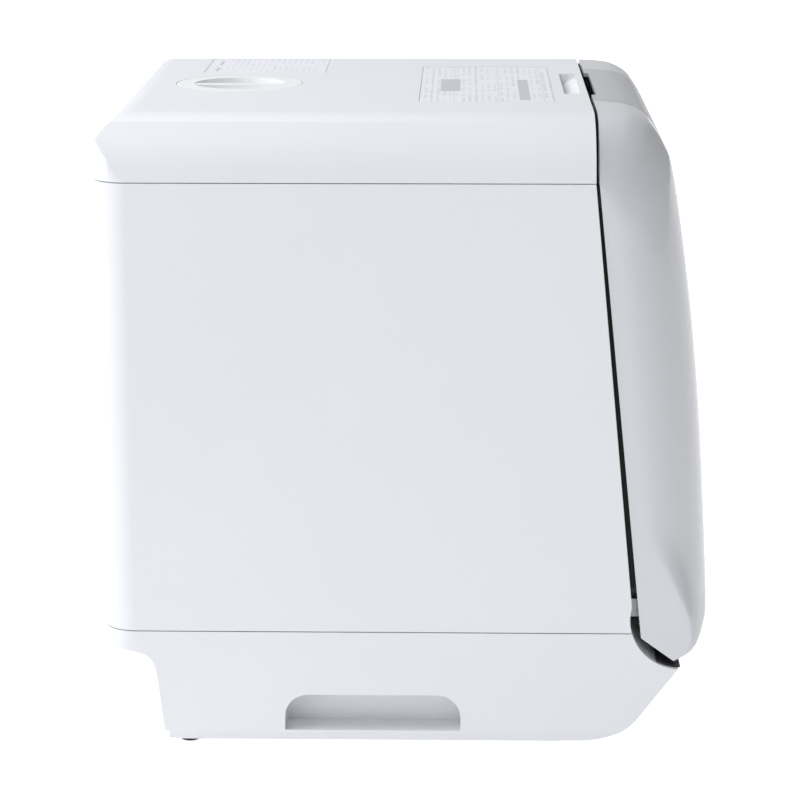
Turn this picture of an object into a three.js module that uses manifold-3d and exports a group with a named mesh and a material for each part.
// Tank-fed countertop dishwasher with a bottom-hinged door, as separate parts.
// Millimetres, +Z up, door towards -Y, origin under the centre of the footprint.
import * as THREE from 'three';
import { mergeVertices } from 'three/addons/utils/BufferGeometryUtils.js';
import Module from 'manifold-3d';

const wasm = await Module();
wasm.setup();

// Overall size
const WIDTH = 420;
const DEPTH = 445;
const HEIGHT = 470;
const HALF = WIDTH / 2;
const FRONT = -DEPTH / 2;
const REAR = DEPTH / 2;

// Casing
const WALL = 2.5;
const SEAM = 0.6;
const GAP = 0.5;
const TOP_COVER_HEIGHT = 43.7;
const EDGE_RUN = 52;
const REAR_EDGE_RADIUS = 28;
const REAR_CORNER_RADIUS = 25;
const BASE_TOP = 95.6;
const BASE_BOTTOM = 12;
const LIP_TOP = 18;
const LIP_INSET = 1.2;
const REAR_STEP = 44.5;
const PAN_INSET = 16;
const FOOT_STANDOFF = 6;
const FOOT_RADIUS = 9.5;
const COVER_BOTTOM = HEIGHT - TOP_COVER_HEIGHT;

// Parting plane between cabinet and door, leaning forward towards the bottom
const DOOR_DEPTH = 89;
const FRONT_LEAN = 0.099;
const DOOR_GAP_TOP = 2.4;
const DOOR_GAP_GROWTH = 0.007;

// Hinge
const HINGE_Y = FRONT + 21.5;
const HINGE_Z = 106;
const TROUGH_RADIUS = 37.8;
const TROUGH_TOP = 112;
const PIN_RADIUS = 3;
const RUN_CLEARANCE = 0.4;
const ARM_THICKNESS = 3;
const ARM_X = HALF - 32;
const ARM_HALF_HEIGHT = 7;

// Door
const DOOR_SIDE_INSET = 1.5;
const DOOR_WALL = 3;
const DOOR_ROUND = 62;
const DOOR_SIDE_SHARE = 0.16;
const SQUARE_SHARE = 0.8;
const SQUARE_TOP = 170;
const EDGE_FADE = 250;
const DOOR_BOTTOM = HINGE_Z - 35.5;
const PANEL_HALF_TOP = 95;
const PANEL_FLARE = 36;
const PANEL_BOTTOM = 250;
const FASCIA_HALF = 118;
const FASCIA_LOW = 150;
const FASCIA_HIGH = 204;
const BUTTON_RADIUS = 10;
const BUTTON_PITCH = 46;
const BUTTON_COUNT = 4;
const BUTTON_PROUD = 1.2;

// Wash tub
const TUB_SIDE_CLEARANCE = 28;
const TUB_FLOOR = 122;
const TUB_ROOF = 396;
const TUB_REAR = 136;
const TUB_WALL = 2;
const FLANGE_SETBACK = 5;
const FLANGE_THICKNESS = 2.5;
const GASKET_WIDTH = 9;
const GASKET_HEIGHT = 3.6;
const SPRAY_Y = -6;
const FILTER_Y = -92;
const FILTER_RADIUS = 30;
const ARM_REACH = 107;

// Filler lid and tank
const LID_Y = 132.6;
const LID_RADIUS = 48.5;
const THROAT_RADIUS = 38;
const TANK_WALL = 2.5;

const paint = (color, roughness, metalness = 0) =>
  new THREE.MeshStandardMaterial({ color, roughness, metalness });
const white = () => paint(0xe9eaee, 0.45);
const glossWhite = () => paint(0xe6e8ec, 0.15);
const silver = () => paint(0xc4c6cc, 0.35, 0.4);
const grey = () => paint(0xb9bcc1, 0.5);
const dark = () => paint(0x1d1e21, 0.6);
const steel = () => paint(0xb5b8bb, 0.3, 0.9);
const rubber = () => paint(0x2a2b2e, 0.85);
const green = () => paint(0x2f6b46, 0.5);
const smoke = () => paint(0x30343a, 0.1);
const paper = () => paint(0xf1f1f6, 0.7);

// Solids ---------------------------------------------------------------------------------
const AXES = {
  x: new THREE.Matrix4().makeBasis(new THREE.Vector3(0, 1, 0), new THREE.Vector3(0, 0, 1),
    new THREE.Vector3(1, 0, 0)),
  y: new THREE.Matrix4().makeBasis(new THREE.Vector3(1, 0, 0), new THREE.Vector3(0, 0, 1),
    new THREE.Vector3(0, -1, 0)),
  z: new THREE.Matrix4(),
};

function solid(geometry) {
  geometry.deleteAttribute('normal');
  geometry.deleteAttribute('uv');
  const merged = mergeVertices(geometry, 1e-4);
  return new wasm.Manifold(new wasm.Mesh({
    numProp: 3,
    vertProperties: Float32Array.from(merged.attributes.position.array),
    triVerts: Uint32Array.from(merged.index.array),
  }));
}

// A prism of an outline: 'x' takes (Y, Z) outlines, 'y' takes (X, Z) and 'z' takes (X, Y).
function prism(axis, shape, low, high, curveSegments = 6) {
  const geometry = new THREE.ExtrudeGeometry(shape, {
    depth: high - low, bevelEnabled: false, curveSegments,
  });
  geometry.applyMatrix4(AXES[axis]);
  const shift = { x: [low, 0, 0], y: [0, high, 0], z: [0, 0, low] }[axis];
  geometry.translate(...shift);
  return solid(geometry);
}

function outline(points) {
  return new THREE.Shape(points.map(([a, b]) => new THREE.Vector2(a, b)));
}

function roundedRect(a0, a1, b0, b1, r) {
  const shape = new THREE.Shape();
  shape.moveTo(a0 + r, b0);
  shape.lineTo(a1 - r, b0);
  shape.absarc(a1 - r, b0 + r, r, -Math.PI / 2, 0);
  shape.lineTo(a1, b1 - r);
  shape.absarc(a1 - r, b1 - r, r, 0, Math.PI / 2);
  shape.lineTo(a0 + r, b1);
  shape.absarc(a0 + r, b1 - r, r, Math.PI / 2, Math.PI);
  shape.lineTo(a0, b0 + r);
  shape.absarc(a0 + r, b0 + r, r, Math.PI, Math.PI * 1.5);
  return shape;
}

function box([x0, x1], [y0, y1], [z0, z1]) {
  const geometry = new THREE.BoxGeometry(x1 - x0, y1 - y0, z1 - z0);
  geometry.translate((x0 + x1) / 2, (y0 + y1) / 2, (z0 + z1) / 2);
  return solid(geometry);
}

// A round bar along one axis, from low to high, at the other two coordinates.
function rod(axis, radius, low, high, [a, b], sides = 14) {
  const geometry = new THREE.CylinderGeometry(radius, radius, high - low, sides);
  const middle = (low + high) / 2;
  if (axis === 'z') geometry.rotateX(Math.PI / 2).translate(a, b, middle);
  if (axis === 'y') geometry.translate(a, middle, b);
  if (axis === 'x') geometry.rotateZ(Math.PI / 2).translate(middle, a, b);
  return solid(geometry);
}

function tube(axis, outer, inner, low, high, at, sides = 14) {
  return rod(axis, outer, low, high, at, sides)
    .subtract(rod(axis, inner, low - 1, high + 1, at, sides));
}

function joined(solids) {
  return solids.reduce((sum, next) => sum.add(next));
}

const appliance = new THREE.Group();

function part(name, shape, material) {
  const { vertProperties, triVerts } = shape.getMesh();
  const geometry = new THREE.BufferGeometry();
  geometry.setAttribute('position', new THREE.BufferAttribute(Float32Array.from(vertProperties), 3));
  geometry.setIndex(new THREE.BufferAttribute(Uint32Array.from(triVerts), 1));
  geometry.computeVertexNormals();
  const mesh = new THREE.Mesh(geometry, material);
  mesh.name = name;
  appliance.add(mesh);
}

const SIDES = [['left', -1], ['right', 1]];
const span = (side, a, b) => (side < 0 ? [-b, -a] : [a, b]);

// Cabinet form ---------------------------------------------------------------------------
function frontY(z) {
  return FRONT + DOOR_DEPTH - FRONT_LEAN * Math.max(0, COVER_BOTTOM - z);
}

function leaningSlab([z0, z1], near, far) {
  const levels = z1 > COVER_BOTTOM ? [z0, COVER_BOTTOM, z1] : [z0, z1];
  const edge = (offset) => levels.map((z) => [frontY(z) + offset, z]);
  return outline([...edge(far), ...edge(near).reverse()]);
}

// Side view of the whole casing: rear recess for the hoses, undercut front.
function casingSide(inset) {
  const shape = new THREE.Shape();
  const back = REAR - inset;
  const top = HEIGHT - inset;
  const low = BASE_BOTTOM + inset;
  const lip = LIP_TOP + inset;
  const step = REAR - REAR_STEP - inset;
  const tip = HINGE_Y + 1 + inset;
  shape.moveTo(tip + 30, 30 + inset * 0.4);
  shape.quadraticCurveTo(tip + 39, 18 + inset * 0.6, tip + 54, 14.5 + inset);
  shape.quadraticCurveTo(tip + 62, low, tip + 76, low);
  shape.lineTo(step - 3, low);
  shape.lineTo(step - 3, lip);
  shape.lineTo(step, lip);
  shape.lineTo(step + 5, 61 + inset);
  shape.quadraticCurveTo(step + 6.5, 77 + inset, step + 20, 79 + inset);
  shape.lineTo(step + 30, 80.5 + inset);
  shape.quadraticCurveTo(back, 83 + inset, back, 95);
  shape.lineTo(back, top - REAR_EDGE_RADIUS);
  shape.absarc(back - REAR_EDGE_RADIUS, top - REAR_EDGE_RADIUS, REAR_EDGE_RADIUS, 0, Math.PI / 2);
  shape.lineTo(frontY(HEIGHT), top);
  shape.lineTo(frontY(COVER_BOTTOM), COVER_BOTTOM);
  shape.lineTo(frontY(HINGE_Z), HINGE_Z);
  shape.lineTo(tip, HINGE_Z - TROUGH_RADIUS * 0.8);
  shape.lineTo(tip, 70);
  return shape;
}

// Front view: top edges rounded by a quarter ellipse as deep as the top cover, and a stepped lip
// round the foot of the base.
function casingFront(inset) {
  const shape = new THREE.Shape();
  const half = HALF - inset;
  const top = HEIGHT - inset;
  const lip = LIP_TOP + inset;
  shape.moveTo(LIP_INSET - half, 0);
  shape.lineTo(half - LIP_INSET, 0);
  shape.lineTo(half - LIP_INSET, lip);
  shape.lineTo(half, lip);
  shape.lineTo(half, COVER_BOTTOM);
  shape.absellipse(half - EDGE_RUN, COVER_BOTTOM, EDGE_RUN, top - COVER_BOTTOM, 0, Math.PI / 2);
  shape.lineTo(EDGE_RUN - half, top);
  shape.absellipse(EDGE_RUN - half, COVER_BOTTOM, EDGE_RUN, top - COVER_BOTTOM, Math.PI / 2, Math.PI);
  shape.lineTo(-half, lip);
  shape.lineTo(LIP_INSET - half, lip);
  return shape;
}

function casingPlan(inset) {
  const half = HALF - inset;
  const back = REAR - inset;
  const r = REAR_CORNER_RADIUS - inset;
  const shape = new THREE.Shape();
  shape.moveTo(-half, FRONT - 10);
  shape.lineTo(half, FRONT - 10);
  shape.lineTo(half, back - r);
  shape.absarc(half - r, back - r, r, 0, Math.PI / 2);
  shape.lineTo(r - half, back);
  shape.absarc(r - half, back - r, r, Math.PI / 2, Math.PI);
  return shape;
}

function casingForm(inset) {
  return prism('x', casingSide(inset), inset - HALF, HALF - inset, 6)
    .intersect(prism('y', casingFront(inset), FRONT - 20, REAR + 20, 10))
    .intersect(prism('z', casingPlan(inset), -10, HEIGHT + 10, 5));
}

function troughCut(radius) {
  return rod('x', radius, -HALF - 5, HALF + 5, [HINGE_Y, HINGE_Z], 48);
}

const outerForm = casingForm(0);
const innerForm = casingForm(WALL);
const shellForm = outerForm.subtract(innerForm);

const RECESS_Y = [-40, 89];
const RECESS_Z = [19.5, 46.9];
const RECESS_DEPTH = 24;

// Carrying recess in the side of the base, with its own pocket walls.
function carryPocket(side, grow) {
  const shape = new THREE.Shape();
  const [y0, y1] = [RECESS_Y[0] - grow, RECESS_Y[1] + grow];
  const [low, high] = [RECESS_Z[0] - grow, RECESS_Z[1] + grow];
  const r = 17;
  shape.moveTo(y0, low);
  shape.lineTo(y1, low);
  shape.lineTo(y1, high - r);
  shape.absarc(y1 - r, high - r, r, 0, Math.PI / 2);
  shape.lineTo(y0 + r, high);
  shape.absarc(y0 + r, high - r, r, Math.PI / 2, Math.PI);
  return prism('x', shape, ...span(side, HALF - RECESS_DEPTH - grow, HALF + (grow ? 0 : 5)), 4);
}

function baseHousing() {
  const band = box([-HALF - 5, HALF + 5], [FRONT - 5, REAR + 5], [BASE_BOTTOM, BASE_TOP - SEAM]);
  let base = shellForm.intersect(band);
  const trough = troughCut(TROUGH_RADIUS + WALL).intersect(outerForm).intersect(band)
    .intersect(box([-HALF, HALF], [HINGE_Y - 5, HINGE_Y + 60], [0, BASE_TOP]));
  const upperWall = troughCut(TROUGH_RADIUS + WALL)
    .intersect(box([WALL + GAP - HALF, HALF - WALL - GAP], [HINGE_Y + 25, HINGE_Y + 60],
      [BASE_TOP - SEAM - 1, TROUGH_TOP]));
  base = base.add(trough).add(upperWall);
  for (const [, side] of SIDES) base = base.add(carryPocket(side, WALL).intersect(outerForm));
  base = base.subtract(troughCut(TROUGH_RADIUS));
  for (const [, side] of SIDES) base = base.subtract(carryPocket(side, 0));
  const wall = [REAR - 54, REAR - 20];
  for (const [x, , z, r] of REAR_PORTS) {
    base = base.subtract(rod('y', r + GAP, ...wall, [x, z], 20));
  }
  for (const [, side] of SIDES) base = base.subtract(armForm(side, RUN_CLEARANCE));
  return base;
}

// Shallow tray under the base that carries the feet, set in so that only the base shows.
function bottomPan() {
  const halfWidth = HALF - PAN_INSET;
  const pan = prism('z', roundedRect(-halfWidth, halfWidth, HINGE_Y + 83, REAR - 48, 6),
    FOOT_STANDOFF, BASE_BOTTOM - GAP, 3);
  const tray = prism('z', roundedRect(4 - halfWidth, halfWidth - 4, HINGE_Y + 87, REAR - 52, 4),
    FOOT_STANDOFF + WALL, BASE_BOTTOM + 1, 2);
  let result = pan.subtract(tray);
  for (const [x, y] of FOOT_SPOTS) {
    result = result.subtract(rod('z', FOOT_RADIUS + GAP, 0, FOOT_STANDOFF + 1.5, [x, y], 20));
  }
  return result;
}

const FOOT_SPOTS = [[-150, HINGE_Y + 97], [150, HINGE_Y + 97], [-176, REAR - 60], [176, REAR - 60]];

function rubberFoot(x, y) {
  const profile = [[0, 0], [FOOT_RADIUS - 2.5, 0], [FOOT_RADIUS - 0.6, 2.2],
    [FOOT_RADIUS, FOOT_STANDOFF + 1], [0, FOOT_STANDOFF + 1]];
  const geometry = new THREE.LatheGeometry(profile.map(([r, h]) => new THREE.Vector2(r, h)), 20);
  geometry.rotateX(Math.PI / 2).translate(x, y, 0);
  return solid(geometry);
}

const COVER_HALF = HALF - 32;
const COVER_LOW = BASE_TOP + 4;

function sidePanel(side) {
  const zone = box(span(side, COVER_HALF + GAP, HALF + 5), [FRONT, REAR + 5],
    [BASE_TOP, COVER_BOTTOM - SEAM]);
  return shellForm.intersect(zone)
    .subtract(prism('x', leaningSlab([BASE_TOP - 5, COVER_BOTTOM], -60, 0), -HALF, HALF))
    .subtract(troughCut(TROUGH_RADIUS))
    .intersect(box([-HALF, HALF], [FRONT, REAR], [BASE_TOP, COVER_BOTTOM]));
}

const SCREW_SPOTS = [-1, 1].map((side) => [side * (COVER_HALF - 9), COVER_LOW + 9]);

function rearCover() {
  let cover = box([-COVER_HALF, COVER_HALF], [REAR - WALL, REAR], [BASE_TOP, COVER_BOTTOM - SEAM]);
  for (let i = 0; i < 6; i += 1) {
    cover = cover.subtract(box([60, 140], [REAR - 9, REAR + 1], [150 + i * 9, 154 + i * 9]));
  }
  for (const [x, z] of SCREW_SPOTS) {
    cover = cover.subtract(rod('y', 2.4, REAR - 9, REAR + 1, [x, z], 12));
    cover = cover.subtract(rod('y', 4.6, REAR - 1.4, REAR + 1, [x, z], 12));
  }
  return cover;
}

function coverScrew(x, z) {
  return rod('y', 4, REAR - 1.1, REAR, [x, z], 12).add(rod('y', 2, REAR - 6.5, REAR - 1, [x, z], 8))
    .subtract(box([x - 2.6, x + 2.6], [REAR - 0.7, REAR + 1], [z - 0.5, z + 0.5]))
    .subtract(box([x - 0.5, x + 0.5], [REAR - 0.7, REAR + 1], [z - 2.6, z + 2.6]));
}

const SCOOP_HALF = 61;
const SCOOP_REAR = frontY(HEIGHT) + 18;
const SCOOP_FRONT = frontY(HEIGHT) + 5;
const SCOOP_DEPTH = 9;
const LABELS = [
  ['rear_label', [67, 158], [70, 166]],
  ['front_label', [-106, 106], [-107, -8]],
];

function scoopForm(grow) {
  return prism('x', outline([
    [SCOOP_REAR + grow, HEIGHT + (grow ? 0 : 2)], [SCOOP_REAR - 1 + grow, HEIGHT - SCOOP_DEPTH - grow],
    [SCOOP_FRONT - grow, HEIGHT - 3 - grow], [SCOOP_FRONT - grow, HEIGHT + (grow ? 0 : 2)],
  ]), -SCOOP_HALF - grow, SCOOP_HALF + grow);
}

function topCover() {
  let cover = shellForm.intersect(box([-HALF - 5, HALF + 5], [FRONT, REAR + 5], [COVER_BOTTOM, HEIGHT + 5]))
    .subtract(box([-HALF, HALF], [FRONT - 5, frontY(HEIGHT)], [0, HEIGHT + 5]));
  const apron = box([4 - HALF, HALF - 4], [frontY(HEIGHT), frontY(HEIGHT) + WALL],
    [HEIGHT - 16, HEIGHT - 1]).intersect(outerForm);
  cover = cover.add(apron).add(scoopForm(WALL));
  cover = cover.subtract(scoopForm(0));
  cover = cover.subtract(rod('z', LID_RADIUS + GAP, HEIGHT - WALL - 5, HEIGHT + 1, [0, LID_Y], 36));
  for (const [, xs, ys] of LABELS) {
    cover = cover.subtract(box([xs[0] - GAP, xs[1] + GAP], [ys[0] - GAP, ys[1] + GAP],
      [HEIGHT - 0.7, HEIGHT + 1]));
  }
  const slot = box([-HOOK_HALF - 5, HOOK_HALF + 5], [frontY(HEIGHT) - 1, frontY(HEIGHT) + WALL + 0.5],
    [HEIGHT - 17, HEIGHT - 8]);
  return cover.subtract(slot);
}

// Filler lid: a disc with a recessed grip crossed by a bar, on a spigot that sits in the throat.
function fillerLid() {
  const disc = rod('z', LID_RADIUS, HEIGHT - 4, HEIGHT, [0, LID_Y], 36)
    .add(rod('z', THROAT_RADIUS - 1.5, HEIGHT - 22, HEIGHT - 3.5, [0, LID_Y], 32));
  const well = rod('z', 34.5, HEIGHT - 14, HEIGHT + 1, [0, LID_Y], 32)
    .subtract(box([-5, 5], [LID_Y - 40, LID_Y + 40], [HEIGHT - 20, HEIGHT - 0.6]));
  const under = rod('z', THROAT_RADIUS - 4, HEIGHT - 25, HEIGHT - 17, [0, LID_Y], 24);
  return disc.subtract(well).subtract(under);
}

// Tub ------------------------------------------------------------------------------------
const TUB_HALF = HALF - TUB_SIDE_CLEARANCE;

function tubBody() {
  const outer = prism('y', roundedRect(-TUB_HALF, TUB_HALF, TUB_FLOOR - TUB_WALL, TUB_ROOF + TUB_WALL, 22),
    FRONT, TUB_REAR + TUB_WALL, 4);
  const inner = prism('y', roundedRect(TUB_WALL - TUB_HALF, TUB_HALF - TUB_WALL, TUB_FLOOR, TUB_ROOF, 20),
    FRONT - 10, TUB_REAR, 4);
  const flange = prism('x', leaningSlab([BASE_TOP + 18, HEIGHT - 18], FLANGE_SETBACK,
    FLANGE_SETBACK + FLANGE_THICKNESS), WALL + GAP - HALF, HALF - WALL - GAP)
    .intersect(prism('y', roundedRect(WALL + GAP - HALF, HALF - WALL - GAP, 100, HEIGHT - 18, 34),
      FRONT, 0, 4));
  let tub = outer.subtract(prism('x', leaningSlab([0, HEIGHT + 10], -200, FLANGE_SETBACK), -HALF, HALF));
  tub = tub.add(flange).subtract(inner);
  tub = tub.subtract(rod('z', FILTER_RADIUS + GAP, TUB_FLOOR - 10, TUB_FLOOR + 10, [0, FILTER_Y], 32));
  tub = tub.subtract(rod('z', 12, TUB_FLOOR - 10, TUB_FLOOR + 10, [0, SPRAY_Y], 20));
  tub = tub.subtract(rod('z', 7.5, TUB_FLOOR - 10, TUB_FLOOR + 10, [0, TUB_REAR - 16], 16));
  tub = tub.subtract(rod('y', 15, TUB_REAR - 5, TUB_REAR + 10, [110, 330], 20));
  const [low, high] = [HEIGHT - 40, HEIGHT - 19];
  tub = tub.subtract(box([-HOOK_HALF - 6, HOOK_HALF + 6], [FRONT, 0], [low, high]));
  for (const [, side] of SIDES) {
    tub = tub.subtract(box(span(side, ARM_X - 4, ARM_X + 6), [FRONT, -120], [90, HINGE_Z + 12]));
  }
  return tub;
}

function doorGasket() {
  const low = TUB_FLOOR - 5;
  const high = TUB_ROOF + 5;
  const half = TUB_HALF + 5;
  const w = GASKET_WIDTH;
  const ring = prism('y', roundedRect(-half - w / 2, half + w / 2, low - w / 2, high + w / 2, 26),
    FRONT, 0, 5)
    .subtract(prism('y', roundedRect(w / 2 - half, half - w / 2, low + w / 2, high - w / 2, 18),
      FRONT - 5, 5, 5));
  const layer = prism('x', leaningSlab([BASE_TOP, HEIGHT], FLANGE_SETBACK - 0.3 - GASKET_HEIGHT,
    FLANGE_SETBACK - 0.3), -HALF, HALF);
  return ring.intersect(layer);
}

// Racks ----------------------------------------------------------------------------------
const RACK_FLOOR = TUB_FLOOR + 34;
const RACK_X = TUB_HALF - 14;
const RACK_Y = [-126, TUB_REAR - 26];
const WIRE = 1.6;
const WIRE_SIDES = 4;

function wire(axis, low, high, at) {
  return rod(axis, WIRE, low, high, at, WIRE_SIDES);
}

function hoop(z) {
  const bars = [];
  for (const x of [-RACK_X, RACK_X]) bars.push(wire('y', RACK_Y[0] - 1, RACK_Y[1] + 1, [x, z]));
  for (const y of RACK_Y) bars.push(wire('x', -RACK_X - 1, RACK_X + 1, [y, z]));
  return bars;
}

const BASKET_Y = [RACK_Y[0] + 8, RACK_Y[0] + 62];
const BASKET_X = [RACK_X - 104, RACK_X - 8];
const BASKET_TOP = RACK_FLOOR + 96;

function dishRack() {
  const bars = [...hoop(RACK_FLOOR), ...hoop(RACK_FLOOR + 52)];
  const rows = 7;
  for (let i = 1; i < rows; i += 1) {
    const x = -RACK_X + (2 * RACK_X * i) / rows;
    bars.push(wire('y', RACK_Y[0], RACK_Y[1], [x, RACK_FLOOR]));
    bars.push(wire('z', RACK_FLOOR, RACK_FLOOR + 52, [x, RACK_Y[1]]));
    bars.push(wire('z', RACK_FLOOR, RACK_FLOOR + 52, [x, RACK_Y[0]]));
  }
  for (const x of [-RACK_X, RACK_X]) {
    for (const y of [RACK_Y[0], SPRAY_Y, RACK_Y[1]]) {
      bars.push(wire('z', RACK_FLOOR, RACK_FLOOR + 52, [x, y]));
    }
  }
  for (let i = 0; i < 4; i += 1) {
    const y = BASKET_Y[1] + 14 + i * 44;
    bars.push(wire('x', -RACK_X, RACK_X, [y, RACK_FLOOR]));
    for (const x of [-104, -60, -16, 28, 72, 116]) {
      bars.push(wire('z', RACK_FLOOR, RACK_FLOOR + 68, [x, y]));
    }
  }
  return joined(bars);
}

function cutleryBasket() {
  const low = RACK_FLOOR + WIRE + GAP;
  let basket = box(BASKET_X, BASKET_Y, [low, BASKET_TOP]);
  const cells = 3;
  const pitch = (BASKET_X[1] - BASKET_X[0] - 2) / cells;
  for (let i = 0; i < cells; i += 1) {
    const x = BASKET_X[0] + 2 + i * pitch;
    basket = basket.subtract(box([x, x + pitch - 2], [BASKET_Y[0] + 2, BASKET_Y[1] - 2],
      [low + 2, BASKET_TOP + 5]));
    for (let j = 0; j < 4; j += 1) {
      basket = basket.subtract(box([x + 5, x + pitch - 7], [BASKET_Y[0] - 2, BASKET_Y[1] + 2],
        [low + 12 + j * 20, low + 24 + j * 20]));
    }
  }
  return basket;
}

// Water circuit --------------------------------------------------------------------------
function sprayArm(z, hubDown) {
  const blade = new THREE.Shape();
  blade.moveTo(-ARM_REACH, -7);
  blade.quadraticCurveTo(0, -20, ARM_REACH, -7);
  blade.absarc(ARM_REACH, 0, 7, -Math.PI / 2, Math.PI / 2);
  blade.quadraticCurveTo(0, 20, -ARM_REACH, 7);
  blade.absarc(-ARM_REACH, 0, 7, Math.PI / 2, Math.PI * 1.5);
  const geometry = new THREE.ExtrudeGeometry(blade, { depth: 8, bevelEnabled: false, curveSegments: 5 });
  geometry.translate(0, SPRAY_Y, z);
  let arm = solid(geometry);
  arm = arm.add(rod('z', 16, z - (hubDown ? 4 : 0), z + (hubDown ? 8 : 12), [0, SPRAY_Y], 20));
  arm = arm.subtract(rod('z', 8.6, z - 10, z + 20, [0, SPRAY_Y], 20));
  const up = hubDown ? [z + 4, z + 12] : [z - 4, z + 4];
  for (const x of [-96, -74, -52, 44, 66, 88]) {
    arm = arm.subtract(box([x - 4, x + 4], [SPRAY_Y - 1, SPRAY_Y + 1], up));
  }
  return arm;
}

const LOWER_ARM_Z = TUB_FLOOR + 16;
const UPPER_ARM_Z = TUB_ROOF - 42;

function feedPipe() {
  const rear = TUB_REAR - 16;
  const high = TUB_ROOF - 12;
  const riser = rod('z', 6.5, SUMP_TOP - 14, high, [0, rear], 16);
  const run = rod('y', 6.5, SPRAY_Y, rear, [0, high], 16);
  const drop = rod('z', 6.5, UPPER_ARM_Z - 5, high + 6.5, [0, SPRAY_Y], 16);
  const bore = rod('z', 4.5, UPPER_ARM_Z - 10, high, [0, SPRAY_Y], 12)
    .add(rod('y', 4.5, SPRAY_Y, rear, [0, high], 12))
    .add(rod('z', 4.5, SUMP_TOP - 20, high, [0, rear], 12));
  const stop = rod('z', 13, UPPER_ARM_Z - 5, UPPER_ARM_Z - 1.5, [0, SPRAY_Y], 16);
  return joined([riser, run, drop, stop]).subtract(bore);
}

const SUMP_TOP = TUB_FLOOR - TUB_WALL - 0.3;
const SUMP_X = 52;
const SUMP_Y = [FILTER_Y - 40, TUB_REAR - 2];

function sump() {
  let body = box([-SUMP_X, SUMP_X], SUMP_Y, [74, SUMP_TOP])
    .subtract(box([3 - SUMP_X, SUMP_X - 3], [SUMP_Y[0] + 3, SUMP_Y[1] - 3], [77, SUMP_TOP + 5]));
  body = body.add(rod('z', 8, 76, LOWER_ARM_Z + 9, [0, SPRAY_Y], 20))
    .add(rod('z', 12, LOWER_ARM_Z + 9, LOWER_ARM_Z + 12, [0, SPRAY_Y], 20))
    .subtract(rod('z', 5, 79, LOWER_ARM_Z + 14, [0, SPRAY_Y], 12));
  return body.subtract(troughCut(TROUGH_RADIUS + WALL + GAP));
}

function filterCylinder() {
  const top = TUB_FLOOR + 2;
  let cup = tube('z', FILTER_RADIUS - 4, FILTER_RADIUS - 6, 82, top, [0, FILTER_Y], 16)
    .add(tube('z', FILTER_RADIUS, FILTER_RADIUS - 6, top - 3, top + 2, [0, FILTER_Y], 16))
    .add(rod('z', FILTER_RADIUS - 5, 80, 83, [0, FILTER_Y], 16))
    .add(box([2 - FILTER_RADIUS, FILTER_RADIUS - 2], [FILTER_Y - 2, FILTER_Y + 2], [top - 6, top + 10]));
  for (let i = 0; i < 3; i += 1) {
    cup = cup.subtract(box([-40, 40], [FILTER_Y - 9, FILTER_Y + 9], [88 + i * 9, 92 + i * 9]));
  }
  return cup;
}

function filterPlate() {
  const z = TUB_FLOOR + 0.5;
  let plate = prism('z', roundedRect(-70, 70, FILTER_Y - 37, FILTER_Y + 58, 12), z, z + 1.4, 4)
    .subtract(rod('z', FILTER_RADIUS + 1, z - 5, z + 5, [0, FILTER_Y], 16));
  for (const x of [-62, -54, -46, 42, 50, 58]) {
    plate = plate.subtract(box([x, x + 4], [FILTER_Y - 26, FILTER_Y + 46], [z - 5, z + 5]));
  }
  return plate;
}

function heater() {
  const radius = 74;
  const steps = 16;
  const points = [];
  for (let i = 0; i <= steps; i += 1) {
    const angle = Math.PI * (-0.32 + (1.64 * i) / steps);
    points.push(new THREE.Vector3(radius * Math.cos(angle), SPRAY_Y + 40 + radius * Math.sin(angle) * 0.62,
      TUB_FLOOR + 7));
  }
  const section = new THREE.Shape();
  section.absarc(0, 0, 3.4, 0, Math.PI * 2);
  const path = new THREE.CatmullRomCurve3(points);
  return solid(new THREE.ExtrudeGeometry(section, {
    steps: 20, extrudePath: path, bevelEnabled: false, curveSegments: 3,
  }));
}

function floatSwitch() {
  return rod('z', 11, TUB_FLOOR + 0.5, TUB_FLOOR + 14, [-130, FILTER_Y], 20)
    .add(rod('z', 7, TUB_FLOOR + 13, TUB_FLOOR + 18, [-130, FILTER_Y], 20));
}

// Pump: a motor can and a volute opened at its mouth, with the impeller inside it.
function pumpHousing(x0, x1, y, z, radius) {
  return rod('x', radius, x0, x1, [y, z], 20)
    .add(box([x0 + 4, x1 - 4], [y - radius * 0.7, y + radius * 0.7], [z - radius - 3, z]))
    .subtract(rod('x', radius - 5, x0 - 1, x0 + 18, [y, z], 20))
    .subtract(rod('x', 4.4, x0 + 10, x0 + 30, [y, z], 12));
}

function impeller(x0, y, z, radius) {
  const disc = rod('x', radius, x0 + 11, x0 + 14, [y, z], 20).add(rod('x', 4, x0 + 2, x0 + 26, [y, z], 12));
  const vanes = [0, 1, 2].map((i) => {
    const blade = new THREE.BoxGeometry(8, radius * 2 - 1, 1.8);
    blade.rotateX((Math.PI * i) / 3).translate(x0 + 8, y, z);
    return solid(blade);
  });
  return joined([disc, ...vanes]);
}

const WASH_PUMP = { x: 74, y: 30, z: 46, radius: 28, length: 96 };
const DRAIN_PUMP = { x: 74, y: -62, z: 42, radius: 20, length: 62 };
const FAN = { x: -168, y: 80, z: 62, radius: 26, length: 46 };

function fanDuct() {
  return tube('y', 14, 12, TUB_REAR + 3, REAR - 10, [110, 330], 20);
}

function tankY() {
  return [TUB_REAR + TUB_WALL + 6, REAR - WALL - 5];
}

const TANK_X = [-TUB_HALF, 84];
const TANK_LOW = BASE_TOP + 12;
const TANK_TOP = HEIGHT - 46;
const SHELF_LOW = TUB_ROOF + TUB_WALL + 4;
const SHELF_Y = LID_Y - THROAT_RADIUS - 8;

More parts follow.
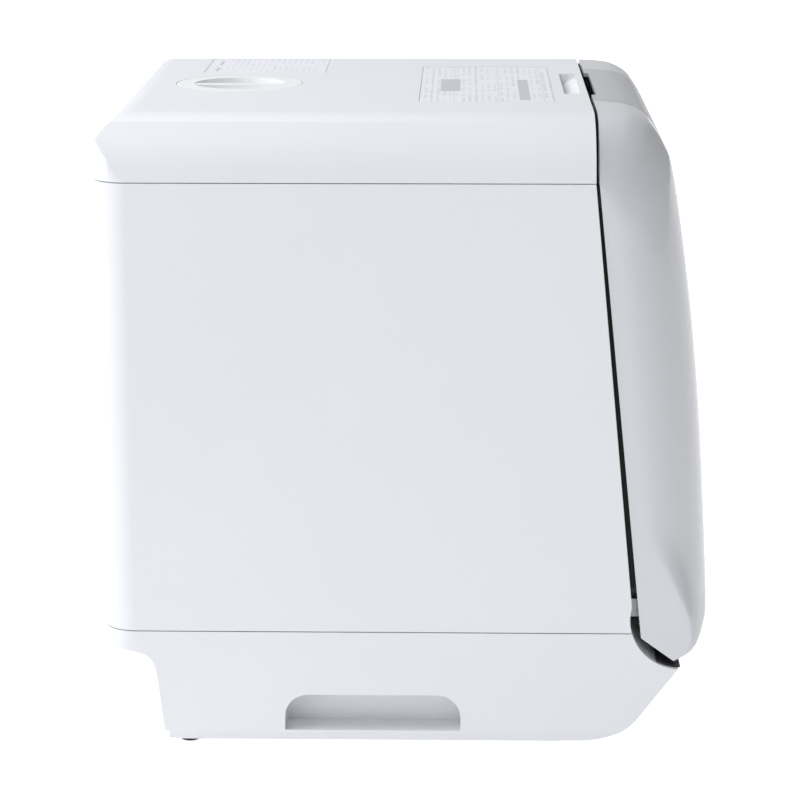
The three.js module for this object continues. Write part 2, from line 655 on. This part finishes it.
function waterTank() {
  const [y0, y1] = tankY();
  const t = TANK_WALL;
  const outer = box(TANK_X, [y0, y1], [TANK_LOW, TANK_TOP])
    .add(box(TANK_X, [SHELF_Y, y1], [SHELF_LOW, TANK_TOP]));
  const inner = box([TANK_X[0] + t, TANK_X[1] - t], [y0 + t, y1 - t], [TANK_LOW + t, TANK_TOP + 5])
    .add(box([TANK_X[0] + t, TANK_X[1] - t], [SHELF_Y + t, y1 - t], [SHELF_LOW + t, TANK_TOP + 5]));
  return outer.subtract(inner).subtract(rod('z', 6, TANK_LOW - 5, TANK_LOW + 5, [-60, (y0 + y1) / 2], 16));
}

function tankCover() {
  const [, y1] = tankY();
  const low = TANK_TOP + 0.3;
  return box(TANK_X, [SHELF_Y, y1], [low, low + 2])
    .add(rod('z', THROAT_RADIUS + 2, low, HEIGHT - 5, [0, LID_Y], 36))
    .add(rod('z', THROAT_RADIUS + 7, HEIGHT - 7, HEIGHT - 5, [0, LID_Y], 36))
    .subtract(rod('z', THROAT_RADIUS, low - 5, HEIGHT + 5, [0, LID_Y], 36));
}

const REAR_PORTS = [[-30, 0, 38, 9], [60, 0, 38, 11], [140, 0, 38, 8]];
const [INLET, DRAIN, GLAND] = REAR_PORTS;

function rearPort([x, , z, r], bore, reach) {
  const wall = REAR - REAR_STEP + 2;
  const body = rod('y', r, wall - 12, wall + reach, [x, z], 20)
    .add(rod('y', r + 3.5, wall - 12, wall - WALL - 2.4, [x, z], 20))
    .add(rod('y', r + 3.5, wall + 2.6, wall + 5.4, [x, z], 20));
  return body.subtract(rod('y', bore, wall - 20, wall + reach + 5, [x, z], 16));
}

function toeStrip() {
  const from = Math.PI * 1.505;
  const to = Math.PI * 1.66;
  const shape = new THREE.Shape();
  shape.absarc(HINGE_Y, HINGE_Z, TROUGH_RADIUS - 0.3, from, to);
  shape.absarc(HINGE_Y, HINGE_Z, TROUGH_RADIUS - 1.8, to, from, true);
  return prism('x', shape, 4 - HALF, HALF - 4, 8);
}

// Hinges ---------------------------------------------------------------------------------
function armForm(side, grow) {
  const shape = new THREE.Shape();
  const r = ARM_HALF_HEIGHT + grow;
  const rear = HINGE_Y + 78;
  shape.absarc(HINGE_Y, HINGE_Z, r, Math.PI / 2, Math.PI * 1.5);
  shape.lineTo(rear, HINGE_Z - r);
  shape.lineTo(rear, HINGE_Z + r);
  return prism('x', shape, ...span(side, ARM_X - grow, ARM_X + ARM_THICKNESS + grow), 6);
}

function hingeArm(side) {
  return armForm(side, 0).subtract(rod('x', PIN_RADIUS + RUN_CLEARANCE, -HALF, HALF, [HINGE_Y, HINGE_Z], 20));
}

function hingePin(side) {
  return rod('x', PIN_RADIUS, ...span(side, ARM_X - 12, ARM_X + 8), [HINGE_Y, HINGE_Z], 16);
}

// Door -----------------------------------------------------------------------------------
const COLUMNS = 16;
const ROWS = 17;

function doorBackY(z) {
  return frontY(z) - DOOR_GAP_TOP - DOOR_GAP_GROWTH * Math.max(0, COVER_BOTTOM - z);
}

// Front line of the door in side view, from its lower edge to the top seam.
const doorCurve = new THREE.SplineCurve([
  [HINGE_Y + 0.5, DOOR_BOTTOM], [FRONT + 8.5, DOOR_BOTTOM + 7], [FRONT + 1.8, DOOR_BOTTOM + 21],
  [FRONT, DOOR_BOTTOM + 43], [FRONT + 4.8, HEIGHT - 264], [FRONT + 11.7, HEIGHT - 181],
  [FRONT + 20.6, HEIGHT - 108], [FRONT + 30.8, HEIGHT - 45], [FRONT + 37, HEIGHT - 26],
  [FRONT + 48, HEIGHT - 9.6], [FRONT + 60.5, HEIGHT - 2.4], [FRONT + 72, HEIGHT - 0.4],
  [doorBackY(HEIGHT), HEIGHT],
].map(([y, z]) => new THREE.Vector2(y, z)));

function doorForm(inset, behind) {
  const half = HALF - DOOR_SIDE_INSET - inset;
  const geometry = new THREE.BoxGeometry(2, 1, 1, COLUMNS, 1, ROWS);
  const position = geometry.attributes.position;
  const low = BASE_TOP - 4 + inset;
  const high = HEIGHT - 4 - inset;
  for (let i = 0; i < position.count; i += 1) {
    const x = half * Math.sin((position.getX(i) * Math.PI) / 2);
    const row = Math.min(Math.max(position.getZ(i) + 0.5, 0), 1);
    const front = doorCurve.getPointAt(row);
    const tangent = doorCurve.getTangentAt(row);
    front.x += tangent.y * inset;
    front.y -= tangent.x * inset;
    const backZ = low + (high - low) * row;
    const beyond = Math.max(0, Math.abs(x) - (half - DOOR_ROUND + inset)) / (DOOR_ROUND - inset);
    const round = Math.sqrt(Math.max(0, 1 - beyond * beyond));
    const lower = Math.min(Math.max((SQUARE_TOP - front.y) / (SQUARE_TOP - DOOR_BOTTOM), 0), 1);
    const flank = DOOR_SIDE_SHARE + (SQUARE_SHARE - DOOR_SIDE_SHARE) * lower;
    const share = flank + (1 - flank) * round;
    const edge = Math.max(0, Math.abs(x) - (half - EDGE_RUN)) / EDGE_RUN;
    const drop = TOP_COVER_HEIGHT * (1 - Math.sqrt(Math.max(0, 1 - edge * edge)));
    const frontSide = position.getY(i) < 0;
    const level = frontSide ? backZ + (front.y - backZ) * share : backZ;
    const depth = frontSide ? (front.x - doorBackY(backZ)) * share : behind;
    const z = level - drop * Math.max(0, (level - EDGE_FADE) / (HEIGHT - EDGE_FADE)) ** 2;
    position.setXYZ(i, x, doorBackY(backZ) + depth + doorBackY(z) - doorBackY(level), z);
  }
  return solid(geometry);
}

function panelOutline(grow) {
  const top = HEIGHT + 8;
  const wide = PANEL_HALF_TOP + PANEL_FLARE + grow;
  const slim = PANEL_HALF_TOP + grow;
  const low = PANEL_BOTTOM - grow;
  const shape = new THREE.Shape();
  shape.moveTo(-slim, top);
  shape.lineTo(-wide, low + 44);
  shape.quadraticCurveTo(-wide, low, 44 - wide, low);
  shape.lineTo(wide - 44, low);
  shape.quadraticCurveTo(wide, low, wide, low + 44);
  shape.lineTo(slim, top);
  return shape;
}

function windowOutline(grow) {
  const top = HEIGHT - 62 + grow;
  const low = PANEL_BOTTOM + 18 - grow;
  const wide = PANEL_HALF_TOP + 12 + grow;
  const slim = PANEL_HALF_TOP - 6 + grow;
  const shape = new THREE.Shape();
  shape.moveTo(14 - slim, top);
  shape.quadraticCurveTo(-slim, top, -slim - 2, top - 16);
  shape.lineTo(-wide, low + 24);
  shape.quadraticCurveTo(-wide, low, 26 - wide, low);
  shape.lineTo(wide - 26, low);
  shape.quadraticCurveTo(wide, low, wide, low + 24);
  shape.lineTo(slim + 2, top - 16);
  shape.quadraticCurveTo(slim, top, slim - 14, top);
  return shape;
}

const through = (shape) => prism('y', shape, FRONT - 20, doorBackY(HEIGHT) + 30, 5);
const fasciaOutline = (grow) =>
  roundedRect(-FASCIA_HALF - grow, FASCIA_HALF + grow, FASCIA_LOW - grow, FASCIA_HIGH + grow, 16);
const doorSkin = doorForm(0, 0).subtract(doorForm(DOOR_WALL, 14));

const HOOK_HALF = 9;
const FINGER_CUT = box([-66, 66], [doorBackY(HEIGHT) - 3.4, 0], [HEIGHT - 13, HEIGHT + 5]);

function doorShell() {
  let shell = doorSkin.subtract(through(panelOutline(0.3))).subtract(through(fasciaOutline(0.3)));
  for (const [, side] of SIDES) {
    shell = shell.subtract(box(span(side, ARM_X - 3, ARM_X + ARM_THICKNESS + 3),
      [HINGE_Y - ARM_HALF_HEIGHT - 1.5, HINGE_Y + 60], [0, HINGE_Z - ARM_HALF_HEIGHT]));
  }
  return shell.subtract(FINGER_CUT);
}

const centrePanel = () => doorSkin.intersect(through(panelOutline(0)))
  .subtract(through(windowOutline(0.3))).subtract(FINGER_CUT);
const doorWindow = () => doorSkin.intersect(through(windowOutline(0)));

const buttonX = (i) => (i - (BUTTON_COUNT - 1) / 2) * BUTTON_PITCH;
const BUTTON_Z = (FASCIA_LOW + FASCIA_HIGH) / 2;
const faceY = doorCurve.getPointAt(0.28).x;

function doorFascia() {
  let fascia = doorSkin.intersect(through(fasciaOutline(0)));
  for (let i = 0; i < BUTTON_COUNT; i += 1) {
    fascia = fascia.subtract(rod('y', BUTTON_RADIUS + GAP, FRONT - 5, 0, [buttonX(i), BUTTON_Z], 18));
  }
  return fascia;
}

function pushButton(i, y) {
  return rod('y', BUTTON_RADIUS, y - BUTTON_PROUD, y + 6, [buttonX(i), BUTTON_Z], 18)
    .add(rod('y', 3, y + 5, y + 10, [buttonX(i), BUTTON_Z], 10));
}

const LINER_NEAR = -6;
const LINER_FAR = -0.4;
const LINER_HALF = HALF - 8;
const LINER_LOW = HINGE_Z - 6;
const LINER_HIGH = HEIGHT - 62;
const GLASS = [[-84, 84], [PANEL_BOTTOM + 26, HEIGHT - 76]];

function linerSlab(near, far, half, z0, z1) {
  return prism('x', leaningSlab([z0, z1], near, far), -half, half);
}

function doorLiner() {
  let liner = linerSlab(LINER_NEAR, LINER_FAR, LINER_HALF, LINER_LOW, LINER_HIGH)
    .subtract(linerSlab(-12, LINER_FAR - 2, TUB_HALF - 12, TUB_FLOOR + 6, LINER_HIGH - 14));
  const [xs, zs] = GLASS;
  liner = liner.subtract(box([xs[0] - GAP, xs[1] + GAP], [FRONT, 0], [zs[0] - GAP, zs[1] + GAP]));
  const cup = cupForm(0.3);
  liner = liner.subtract(cup);
  for (const [, side] of SIDES) {
    liner = liner.subtract(box(span(side, ARM_X - 5, HALF), [FRONT, 0], [0, HINGE_Z + 22]));
  }
  return liner;
}

function innerGlass() {
  const [xs, zs] = GLASS;
  return prism('x', leaningSlab(zs, LINER_FAR - 2.6, LINER_FAR), ...xs);
}

const CUP_X = [-118, -42];
const CUP_Z = [176, 226];

function cupForm(grow) {
  return box([CUP_X[0] - grow, CUP_X[1] + grow], [frontY(CUP_Z[0]) - 18, frontY(CUP_Z[1]) + 8],
    [CUP_Z[0] - grow, CUP_Z[1] + grow]);
}

function detergentCup() {
  return cupForm(0).subtract(box([CUP_X[0] + 2, CUP_X[1] - 2], [frontY(CUP_Z[0]) - 16, 0],
    [CUP_Z[0] + 2, CUP_Z[1] - 2]));
}

function doorBoard(y) {
  return box([-104, 104], [y + 12, y + 13.6], [FASCIA_LOW + 2, FASCIA_HIGH - 2]);
}

const HOOK_Z = HEIGHT - 30;
const HOOK_DROP = 6;
const CATCH_CLEARANCE = 0.6;
const CATCH_Y = frontY(HEIGHT) + 36;
const CATCH_REACH = 24;

function latchHook() {
  const y = doorBackY(HEIGHT);
  return box([-HOOK_HALF, HOOK_HALF], [y - 3, y + 27], [HOOK_Z - 2.5, HOOK_Z + 2.5])
    .add(box([-HOOK_HALF, HOOK_HALF], [y - 5, y - 2.4], [HOOK_Z - 12, HOOK_Z + 12]))
    .add(prism('x', outline([[y + 19, HOOK_Z - 2], [y + 22, HOOK_Z - HOOK_DROP], [y + 27, HOOK_Z - 2]]),
      -HOOK_HALF, HOOK_HALF));
}

// The catch is drawn at its released height, just clear of the hook's path.
function latchCatch() {
  const z = HOOK_Z - 14;
  const nose = CATCH_Y - CATCH_REACH;
  return rod('x', 4, -HOOK_HALF, HOOK_HALF, [CATCH_Y, z], 14)
    .add(rod('x', 2, -HOOK_HALF - 5, HOOK_HALF + 5, [CATCH_Y, z], 10))
    .add(box([-HOOK_HALF, HOOK_HALF], [nose, CATCH_Y], [z - 2, z + 2]))
    .add(prism('x', outline([[nose, z], [nose + 6, z], [nose + 3, HOOK_Z - HOOK_DROP - CATCH_CLEARANCE]]),
      -HOOK_HALF, HOOK_HALF));
}

// Assembly -------------------------------------------------------------------------------
part('base_housing', baseHousing(), white());
part('bottom_pan', bottomPan(), white());
for (const [name, side] of SIDES) part(`${name}_side_panel`, sidePanel(side), white());
part('rear_cover', rearCover(), white());
part('top_cover', topCover(), white());
part('filler_lid', fillerLid(), white());
part('toe_strip', toeStrip(), dark());
LABELS.forEach(([name, xs, ys]) => part(name, box(xs, ys, [HEIGHT - 0.4, HEIGHT - 0.1]), paper()));
FOOT_SPOTS.forEach(([x, y], i) => part(`rubber_foot_${i + 1}`, rubberFoot(x, y), rubber()));
SCREW_SPOTS.forEach(([x, z], i) => part(`cover_screw_${i + 1}`, coverScrew(x, z), steel()));

part('tub', tubBody(), grey());
part('door_gasket', doorGasket(), rubber());
part('dish_rack', dishRack(), steel());
part('cutlery_basket', cutleryBasket(), grey());
part('lower_spray_arm', sprayArm(LOWER_ARM_Z, true), grey());
part('upper_spray_arm', sprayArm(UPPER_ARM_Z, false), grey());
part('spray_feed_pipe', feedPipe(), grey());
part('filter_cylinder', filterCylinder(), grey());
part('filter_plate', filterPlate(), steel());
part('sump', sump(), dark());
part('heater', heater(), steel());
part('float_switch', floatSwitch(), white());
for (const [name, { x, y, z, radius, length }] of Object.entries({
  wash_pump: WASH_PUMP, drain_pump: DRAIN_PUMP, drying_fan: FAN,
})) {
  part(name, pumpHousing(x, x + length, y, z, radius), dark());
  part(`${name}_impeller`, impeller(x, y, z, radius - 7), grey());
}
part('fan_duct', fanDuct(), grey());
part('water_tank', waterTank(), grey());
part('tank_cover', tankCover(), grey());
part('power_board', box([-176, -86], [-90, 10], [30, 31.6]), green());
part('inlet_spigot', rearPort(INLET, 5, 16), white());
part('drain_spigot', rearPort(DRAIN, 7, 26), dark());
part('cord_gland', rearPort(GLAND, 4, 12), rubber());

part('door_shell', doorShell(), glossWhite());
part('door_centre_panel', centrePanel(), silver());
part('door_window', doorWindow(), smoke());
part('control_fascia', doorFascia(), dark());
for (let i = 0; i < BUTTON_COUNT; i += 1) part(`push_button_${i + 1}`, pushButton(i, faceY), glossWhite());
part('door_liner', doorLiner(), steel());
part('inner_glass', innerGlass(), smoke());
part('detergent_cup', detergentCup(), white());
part('door_board', doorBoard(faceY), green());
part('latch_hook', latchHook(), white());
part('latch_catch', latchCatch(), white());
for (const [name, side] of SIDES) {
  part(`${name}_hinge_arm`, hingeArm(side), steel());
  part(`${name}_hinge_pin`, hingePin(side), steel());
}

export default appliance;
